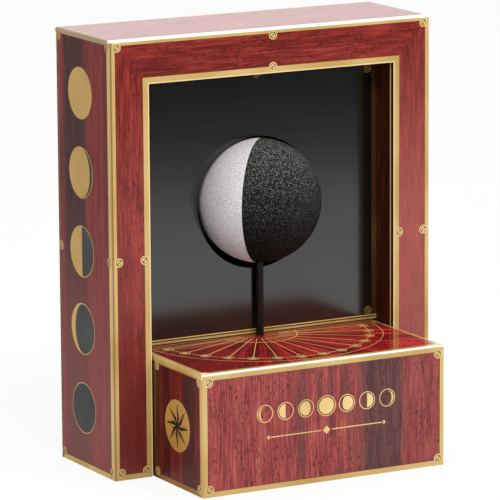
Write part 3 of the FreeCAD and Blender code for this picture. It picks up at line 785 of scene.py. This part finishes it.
class Drawing:
    """Thin printed figures, drawn flat and given a hair's thickness, then put on one face."""

    def __init__(self):
        self.bm = bmesh.new()

    def raise_new(self, before, ink, height):
        """Inks the faces that weren't there before, and gives them their thickness."""
        faces = [face for face in self.bm.faces if face not in before]
        for face in faces:
            face.material_index = ink
        made = bmesh.ops.extrude_face_region(self.bm, geom=faces)["geom"]
        tops = [part for part in made if isinstance(part, bmesh.types.BMVert)]
        bmesh.ops.translate(self.bm, verts=tops, vec=(0, 0, height))

    def disc(self, x, y, radius, ink=GILT, height=LOW_FOIL, sides=40, lit=1.0, turn=0.0):
        """A disc, or with lit under 1 a moon phase whose right-hand half is drawn in to that share."""
        before = set(self.bm.faces)
        made = bmesh.ops.create_circle(self.bm, cap_ends=True, radius=radius, segments=sides)["verts"]
        right = [vert for vert in made if vert.co.x > 0]
        bmesh.ops.scale(self.bm, verts=right, vec=(lit, 1, 1))
        bmesh.ops.rotate(self.bm, verts=made, cent=(0, 0, 0), matrix=Matrix.Rotation(turn, 3, "Z"))
        bmesh.ops.translate(self.bm, verts=made, vec=(x, y, 0))
        self.raise_new(before, ink, height)

    def ring(self, x, y, outer, width, ink=GILT, height=HIGH_FOIL, sides=40):
        self.arc(x, y, outer - width / 2, width, 0, 2 * math.pi, ink, height, sides)

    def bar(self, x, y, length, width, turn, ink=GILT, height=HIGH_FOIL):
        """A straight bar about its middle, turned from the drawing's own right."""
        before = set(self.bm.faces)
        place = Matrix.Translation((x, y, 0)) @ Matrix.Rotation(turn, 4, "Z")
        bmesh.ops.create_grid(self.bm, x_segments=1, y_segments=1, size=0.5,
                              matrix=place @ Matrix.Diagonal((length, width, 1, 1)))
        self.raise_new(before, ink, height)

    def arc(self, x, y, radius, width, start, end, ink=GILT, height=HIGH_FOIL, steps=72):
        """A round line from one angle to another, or closed where that is a full turn."""
        before = set(self.bm.faces)
        ends = [self.bm.verts.new((x + reach * math.cos(start), y + reach * math.sin(start), 0))
                for reach in (radius - width / 2, radius + width / 2)]
        line = self.bm.edges.new(ends)
        bmesh.ops.spin(self.bm, geom=ends + [line], cent=(x, y, 0), axis=(0, 0, 1), angle=end - start,
                       steps=steps, use_merge=end - start >= 2 * math.pi)
        self.raise_new(before, ink, height)

    def ray(self, x, y, turn, spread, ink, height, share=1.0):
        """Half of a star's point, a sliver to one side of the turn, drawn in to a share of its size."""
        before = set(self.bm.faces)
        corners = [Vector((0, 0)), Vector((STAR_TIP * math.cos(turn), STAR_TIP * math.sin(turn))),
                   Vector((STAR_WAIST * math.cos(turn + spread), STAR_WAIST * math.sin(turn + spread)))]
        middle = (corners[0] + corners[1] + corners[2]) / 3
        spots = [Vector((x, y)) + middle + (corner - middle) * share for corner in corners]
        self.bm.faces.new([self.bm.verts.new(spot.to_3d()) for spot in spots])
        self.raise_new(before, ink, height)

    def roundel(self, x, y):
        """A printed screw head: a gilt disc with a dark ring and a slanting slot."""
        self.disc(x, y, ROUNDEL_RADIUS)
        self.ring(x, y, ROUNDEL_RING, ROUNDEL_RING_WIDTH, INK, sides=28)
        self.bar(x, y, SLOT_LENGTH, SLOT_WIDTH, math.pi / 4, INK)

    def finish(self, name, place, finishes):
        """Puts the drawing on its face, as a piece of the case."""
        bmesh.ops.recalc_face_normals(self.bm, faces=self.bm.faces)
        bmesh.ops.transform(self.bm, matrix=place, verts=self.bm.verts)
        add_piece(name, self.bm, finishes, "case")


def add_piece(name, bm, finishes, body):
    """Makes a piece of the finished mesh, which rides on its body."""
    mesh = bpy.data.meshes.new(name)
    bm.to_mesh(mesh)
    bm.free()
    for finish in finishes:
        mesh.materials.append(finish)
    piece = bpy.data.objects.new(name, mesh)
    bpy.context.scene.collection.objects.link(piece)
    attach(piece, body)
    return piece


def front_roundels(inks):
    """Screw heads on the case front: corners, middles and the window's border."""
    drawing = Drawing()
    outer = CASE_HALF * mm - ROUNDEL_INSET
    top = CASE_TOP * mm - ROUNDEL_INSET
    middle = CASE_TOP * mm / 2
    inner = (WINDOW_HALF + WINDOW_BORDER) * mm
    for side in SIDES:
        for x in (outer, inner):
            drawing.roundel(side * x, ROUNDEL_INSET)
            drawing.roundel(side * x, middle)
        drawing.roundel(side * outer, top)
    drawing.roundel(0, top)
    drawing.roundel(0, (WINDOW_TOP + WINDOW_BORDER) * mm)
    drawing.finish("case_front_roundels", on_front(CASE_FRONT * mm), inks)


def side_roundels(inks):
    """Screw heads on both sides of the case."""
    for side, name in SIDES.items():
        drawing = Drawing()
        for y in (CASE_FRONT * mm + ROUNDEL_INSET, CASE_BACK * mm - ROUNDEL_INSET):
            for share in (0, 0.5, 1):
                drawing.roundel(side * y, ROUNDEL_INSET + share * (CASE_TOP * mm - 2 * ROUNDEL_INSET))
        drawing.finish(f"case_{name}_roundels", on_side(side, CASE_SIDE * mm), inks)


def base_roundels(inks):
    """Screw heads at the corners of the base's front and of both its sides."""
    drawing = Drawing()
    for side in SIDES:
        for z in BASE_ROUNDEL_HEIGHTS:
            drawing.roundel(side * (BASE_HALF * mm - ROUNDEL_INSET), z)
    drawing.finish("base_front_roundels", on_front(BASE_FACE * mm), inks)
    for side, name in SIDES.items():
        drawing = Drawing()
        for y in (BASE_FRONT * mm + ROUNDEL_INSET, CASE_FRONT * mm - ROUNDEL_INSET):
            for z in BASE_ROUNDEL_HEIGHTS:
                drawing.roundel(side * y, z)
        drawing.finish(f"base_{name}_roundels", on_side(side, BASE_HALF * mm), inks)


def panel_roundels(inks):
    """Screw heads at the corners of the panel's border, and one at the middle of its top."""
    drawing = Drawing()
    for side in SIDES:
        for z in (PANEL_FOOT * mm + PANEL_ROUNDEL_INSET, WINDOW_TOP * mm - PANEL_ROUNDEL_INSET):
            drawing.roundel(side * (WINDOW_HALF * mm - PANEL_ROUNDEL_INSET), z)
    drawing.roundel(0, WINDOW_TOP * mm - PANEL_ROUNDEL_DROP)
    drawing.finish("panel_roundels", on_front(PANEL_Y * mm), inks)


def phase_discs(inks):
    """Five moon phases down each side of the case, from full to new."""
    for side, name in SIDES.items():
        drawing = Drawing()
        middle = side * PHASE_Y
        for height, lit in zip(PHASE_HEIGHT_SHARES, PHASE_LIT_SHARES):
            z = height * CASE_TOP * mm
            drawing.disc(middle, z, PHASE_RADIUS, INK, sides=72)
            drawing.ring(middle, z, PHASE_RADIUS + PHASE_RIM, PHASE_RIM, sides=72)
            if lit > -1:
                drawing.disc(middle, z, PHASE_RADIUS, GILT, HIGH_FOIL, 72, lit)
        drawing.finish(f"case_{name}_phases", on_side(side, CASE_SIDE * mm), inks)


def compass_stars(inks):
    """A compass star of eight half-shaded points in a gilt medallion, on each side of the base."""
    spread = math.pi / STAR_POINTS
    for side, name in SIDES.items():
        drawing = Drawing()
        x = side * STAR_Y
        drawing.disc(x, STAR_Z, STAR_RADIUS, sides=64)
        for point in range(STAR_POINTS):
            turn = 2 * spread * point
            drawing.ray(x, STAR_Z, turn, -spread, INK, HIGH_FOIL)
            drawing.ray(x, STAR_Z, turn, spread, INK, HIGH_FOIL)
            drawing.ray(x, STAR_Z, turn, spread, GILT, OVER_FOIL, STAR_LIGHT_SHARE)
        drawing.finish(f"base_{name}_star", on_side(side, BASE_HALF * mm), inks)


def dial_spot(angle, reach):
    """A spot on the dial, by its angle and its reach from the middle of the panel's foot."""
    return reach * math.cos(angle), PANEL_Y * mm + reach * math.sin(angle)


def dial_figures(angles, inks):
    """The printed half dial: arcs, day lines, day marks and a gilt disc at each front corner."""
    drawing = Drawing()
    ahead = -math.pi / 2
    for radius, width in CIRCLES:
        drawing.arc(0, PANEL_Y * mm, radius, width, ahead - DIAL_REACH, ahead + DIAL_REACH, height=LOW_FOIL)
    for angle in angles:
        line = dial_spot(angle, (DAY_LINE_START + MARK_CIRCLE) / 2)
        mark = dial_spot(angle, MARK_CIRCLE)
        drawing.bar(*line, MARK_CIRCLE - DAY_LINE_START, DAY_LINE_WIDTH, angle, height=LOW_FOIL)
        drawing.disc(*mark, MARK_RADIUS, height=HIGH_FOIL)
        drawing.ring(*mark, MARK_RING, MARK_RING_WIDTH, INK, RING_FOIL, 32)
    for side in SIDES:
        drawing.disc(side * (BASE_HALF - BORDER) * mm, (BASE_FRONT + BORDER) * mm, ROUNDEL_RADIUS)
    drawing.finish("dial_figures", on_top(BASE_TOP * mm), inks)


def day_numbers(angles, ink):
    """Plain day numbers on the marks, which count up from the right."""
    bm = bmesh.new()
    for day, angle in enumerate(angles):
        curve = bpy.data.curves.new("day_number", "FONT")
        curve.body = str(DAYS - day)
        curve.size = NUMBER_SIZE
        curve.align_x = "CENTER"
        curve.align_y = "CENTER"
        curve.resolution_u = 2
        curve.extrude = NUMBER_HALF_DEPTH
        text = bpy.data.objects.new("day_number", curve)
        bpy.context.scene.collection.objects.link(text)
        bpy.context.view_layer.update()
        mesh = bpy.data.meshes.new_from_object(text)
        spot = Vector((*dial_spot(angle, MARK_CIRCLE), BASE_TOP * mm + OVER_FOIL))
        mesh.transform(Matrix.Translation(spot) @ Matrix.Rotation(angle + math.pi / 2, 4, "Z"))
        bm.from_mesh(mesh)
        bpy.data.objects.remove(text)
        bpy.data.curves.remove(curve)
        bpy.data.meshes.remove(mesh)
    add_piece("dial_day_numbers", bm, [ink], "case")


def base_ornament(inks):
    """A plain row of moon phases over a thin rule with a diamond, in gilt."""
    drawing = Drawing()
    centre = len(ORNAMENT_LIT_SHARES) // 2
    for index, lit in enumerate(ORNAMENT_LIT_SHARES):
        x = ORNAMENT_X + (index - centre) * ORNAMENT_PITCH
        radius = ORNAMENT_MIDDLE_RADIUS if index == centre else ORNAMENT_RADIUS
        drawing.ring(x, ORNAMENT_Z, radius + ORNAMENT_RIM, ORNAMENT_RIM, sides=48)
        drawing.disc(x, ORNAMENT_Z, radius * ORNAMENT_DISC_SHARE, GILT, HIGH_FOIL, 48, lit,
                     math.pi if index > centre else 0.0)
    for side in SIDES:
        drawing.bar(ORNAMENT_X + side * RULE_BAR_MIDDLE, RULE_Z, RULE_BAR, RULE_WIDTH, 0)
        drawing.bar(ORNAMENT_X + side * RULE_HALF, RULE_Z, RULE_END, RULE_END, math.pi / 4)
    drawing.bar(ORNAMENT_X, RULE_Z, RULE_DIAMOND, RULE_DIAMOND, math.pi / 4)
    drawing.finish("base_front_ornament", on_front(BASE_FACE * mm), inks)


def moon_half(node, name, away, skin):
    """Half of the flocked ball. The side that the other half covers is cut off flat."""
    halves = [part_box("moon_light_half"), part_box("moon_dark_half")]
    bottom = min(low.z for low, _ in halves)
    top = max(high.z for _, high in halves)
    bm = bmesh.new()
    bmesh.ops.create_icosphere(bm, subdivisions=6, radius=(top - bottom) / 2)
    for vert in bm.verts:
        spot = vert.co / GRAIN_SIZE
        vert.co += vert.normal * GRAIN_DEPTH * (noise.noise(spot) + 0.5 * noise.noise(spot * 2.1) - 0.9)
    cut = bmesh.ops.bisect_plane(bm, geom=bm.verts[:] + bm.edges[:] + bm.faces[:], dist=BALL_CUT,
                                 plane_co=(0, 0, 0), plane_no=away, clear_inner=True)["geom_cut"]
    rim = [part for part in cut if isinstance(part, bmesh.types.BMEdge)]
    for face in bm.faces:
        face.smooth = True
    for face in bmesh.ops.edgeloop_fill(bm, edges=rim)["faces"]:
        face.smooth = False
    bmesh.ops.recalc_face_normals(bm, faces=bm.faces)
    bmesh.ops.translate(bm, verts=bm.verts, vec=(0, STEM_Y * mm, (top + bottom) / 2))
    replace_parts(add_piece(name, bm, [skin], "moon"), node)


def moon():
    """Both halves of the ball, light and dark."""
    away = Vector((-1, 1, 0)).normalized()
    light = flock("flock_light", LIGHT_FLOCK, LIGHT_FLOCK_GLINT, glint_share=0.1, Specular_IOR_Level=0.5)
    dark = flock("flock_dark", DARK_FLOCK, DARK_FLOCK_GLINT, glint_share=0.45, Specular_IOR_Level=0.12)
    moon_half("moon_light_half", "moon_light_skin", away, light)
    moon_half("moon_dark_half", "moon_dark_skin", -away, dark)


def paint(finish, *nodes):
    """Gives CAD nodes their finish."""
    for node in nodes:
        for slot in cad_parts[node].material_slots:
            slot.material = finish


def paint_case():
    """The printed card of the case and base."""
    paint(front_print("front_wood_left", right=False), "case_front_left_stile", "case_front_top_rail")
    paint(front_print("front_wood_right", right=True), "case_front_right_stile")
    paint(side_print("side_wood_left", seed=71.0), "case_left_side")
    paint(side_print("side_wood_right", seed=77.0), "case_right_side")
    paint(back_print("back_wood"), "case_back")
    paint(top_print("top_wood"), "case_top")
    paint(niche_print("niche_wood_left", seed=81.0), "niche_left_wall")
    paint(niche_print("niche_wood_right", seed=83.0), "niche_right_wall", "niche_ceiling")
    paint(panel_print("black_gloss"), "backdrop_panel")
    paint(base_front_print("base_front_wood"), "base_front")
    paint(base_side_print("base_left_wood", seed=91.0), "base_left_side")
    paint(base_side_print("base_right_wood", seed=93.0), "base_right_side")
    paint(dial_print("dial_veneer"), "dial_plate")
    paint(plain("grey_board", GREY_BOARD, roughness=0.85, scale=0.6, depth=0.05 * mm),
          "base_floor", "battery_hatch", "case_leg_floors", "movement_shelf", "shelf_runners")


def paint_movement():
    """The stem and the hidden movement."""
    paint(plain("moulded_black", BLACK_PLASTIC, roughness=0.5, scale=1.2, depth=0.02 * mm),
          "movement_housing", "movement_cover", "middle_collar", "motor_block", "circuit_feet",
          "setting_thumbwheel")
    paint(plain("moulded_ivory", IVORY_PLASTIC, roughness=0.45, scale=1.4, depth=0.02 * mm),
          "output_wheel", "middle_wheel", "motor_pinion", "setting_gear")
    paint(turned_metal("turned_steel", STEEL, roughness=0.32, axis_y=STEM_Y),
          "cover_screws", "bush_washer", "output_arbor", "output_pivot", "middle_pin", "motor_stator")
    paint(turned_metal("turned_brass", BRASS, roughness=0.3, axis_y=STEM_Y), "movement_bush", "bush_nut")
    paint(plain("black_rod", BLACK_LACQUER, roughness=0.36, depth=0.02 * mm, Specular_IOR_Level=0.25),
          "stem", "arbor_hub")
    paint(wound_wire("copper_winding"), "motor_coil")
    paint(plain("green_board", GREEN_LACQUER, roughness=0.4), "circuit_board")
    paint(turned_metal("tinned", STEEL, roughness=0.28, axis_y=0),
          "crystal_can", "battery_cap", "battery_contacts")
    paint(plain("cell_wrap", CELL_WRAP, roughness=0.3, scale=0.5, Coat_Weight=0.5), "battery_cell")


def printed_figures():
    """Everything printed on the card that isn't wood or a border."""
    foil = gilt_foil("gilt_figures", FIGURE_GILT)
    shaded_side_foil = gilt_foil("gilt_discs_shaded", SHADED_SIDE_GILT)
    shaded_medal_foil = gilt_foil("gilt_medallion_shaded", SHADED_MEDAL_GILT)
    shaded_panel_foil = gilt_foil("gilt_shaded_panel", SHADED_PANEL_ROUNDEL_GILT)
    bright_foil = gilt_foil("gilt_dial", BRIGHT_GILT_TONES)
    line = ink_foil("dark_line", LINE_INK)
    night = ink_foil("night_grey", NIGHT_INK)
    number = ink_foil("number_ink", NUMBER_INK)
    front_roundels([foil, line])
    side_roundels([shaded_side_foil, line])
    base_roundels([foil, line])
    panel_roundels([shaded_panel_foil, line])
    phase_discs([shaded_side_foil, night])
    compass_stars([shaded_medal_foil, number])
    angles = [-math.pi / 2 + (day - (DAYS - 1) / 2) * DAY_STEP for day in range(DAYS)]
    dial_figures(angles, [bright_foil, number])
    day_numbers(angles, number)
    base_ornament([foil, line])


def camera():
    """The camera at the photograph's viewing angle."""
    back = Vector((math.sin(AZIMUTH) * math.cos(ELEVATION), -math.cos(AZIMUTH) * math.cos(ELEVATION),
                   math.sin(ELEVATION)))
    right = Matrix.Rotation(ROLL, 4, back) @ Vector((0, 0, 1)).cross(back).normalized()
    up = back.cross(right)
    data = bpy.data.cameras.new("photo_camera")
    data.lens = LENS
    data.sensor_width = SENSOR
    data.clip_end = 100
    eye = bpy.data.objects.new("photo_camera", data)
    eye.matrix_world = (Matrix.Translation(TARGET + back * DISTANCE)
                        @ Matrix((right, up, back)).transposed().to_4x4())
    bpy.context.scene.collection.objects.link(eye)
    bpy.context.scene.camera = eye


def studio():
    """A pale floor, two soft lamps and a white room."""
    bm = bmesh.new()
    bmesh.ops.create_grid(bm, x_segments=1, y_segments=1, size=FLOOR_HALF,
                          matrix=Matrix.Translation((0, 0, -FLOOR_GAP)))
    mesh = bpy.data.meshes.new("floor")
    bm.to_mesh(mesh)
    bm.free()
    mesh.materials.append(floor_paper())
    floor = bpy.data.objects.new("floor", mesh)
    bpy.context.scene.collection.objects.link(floor)
    lamp("soft_lamp", KEY_PLACE, KEY_ACROSS, KEY_POWER)
    lamp("soft_fill", FILL_PLACE, FILL_ACROSS, FILL_POWER)
    surround()


def lamp(name, away, across, power):
    """A round soft lamp that looks at the clock's middle from the given place."""
    light = bpy.data.lights.new(name, "AREA")
    light.shape = "DISK"
    light.size = across
    light.energy = power
    stand = bpy.data.objects.new(name, light)
    aim = Vector((0, 0, CASE_TOP * mm / 2))
    stand.matrix_world = Matrix.Translation(aim + away) @ away.to_track_quat("Z", "Y").to_matrix().to_4x4()
    bpy.context.scene.collection.objects.link(stand)


def surround():
    """The room: white to the camera, and as a light brighter behind and overhead than in front."""
    world = bpy.data.worlds.new("white_room")
    bpy.context.scene.world = world
    world.use_nodes = True
    room = Nodes(world.node_tree)
    towards = room.make("ShaderNodeTexCoord", output="Generated")
    lean = room.make("ShaderNodeVectorMath", {"operation": "DOT_PRODUCT"}, {0: towards, 1: ROOM_LEAN},
                     output="Value")
    seen = room.make("ShaderNodeLightPath", output="Is Camera Ray")
    background = room.tree.nodes["Background"]
    room.feed(background.inputs["Color"], (1, 1, 1, 1))
    room.feed(background.inputs["Strength"], (lean + ROOM_LEVEL).clamped().most(seen))


def settings():
    """Colour as it is written."""
    bpy.context.scene.view_settings.view_transform = "Standard"


settings()
camera()
studio()
paint_case()
paint_movement()
printed_figures()
moon()
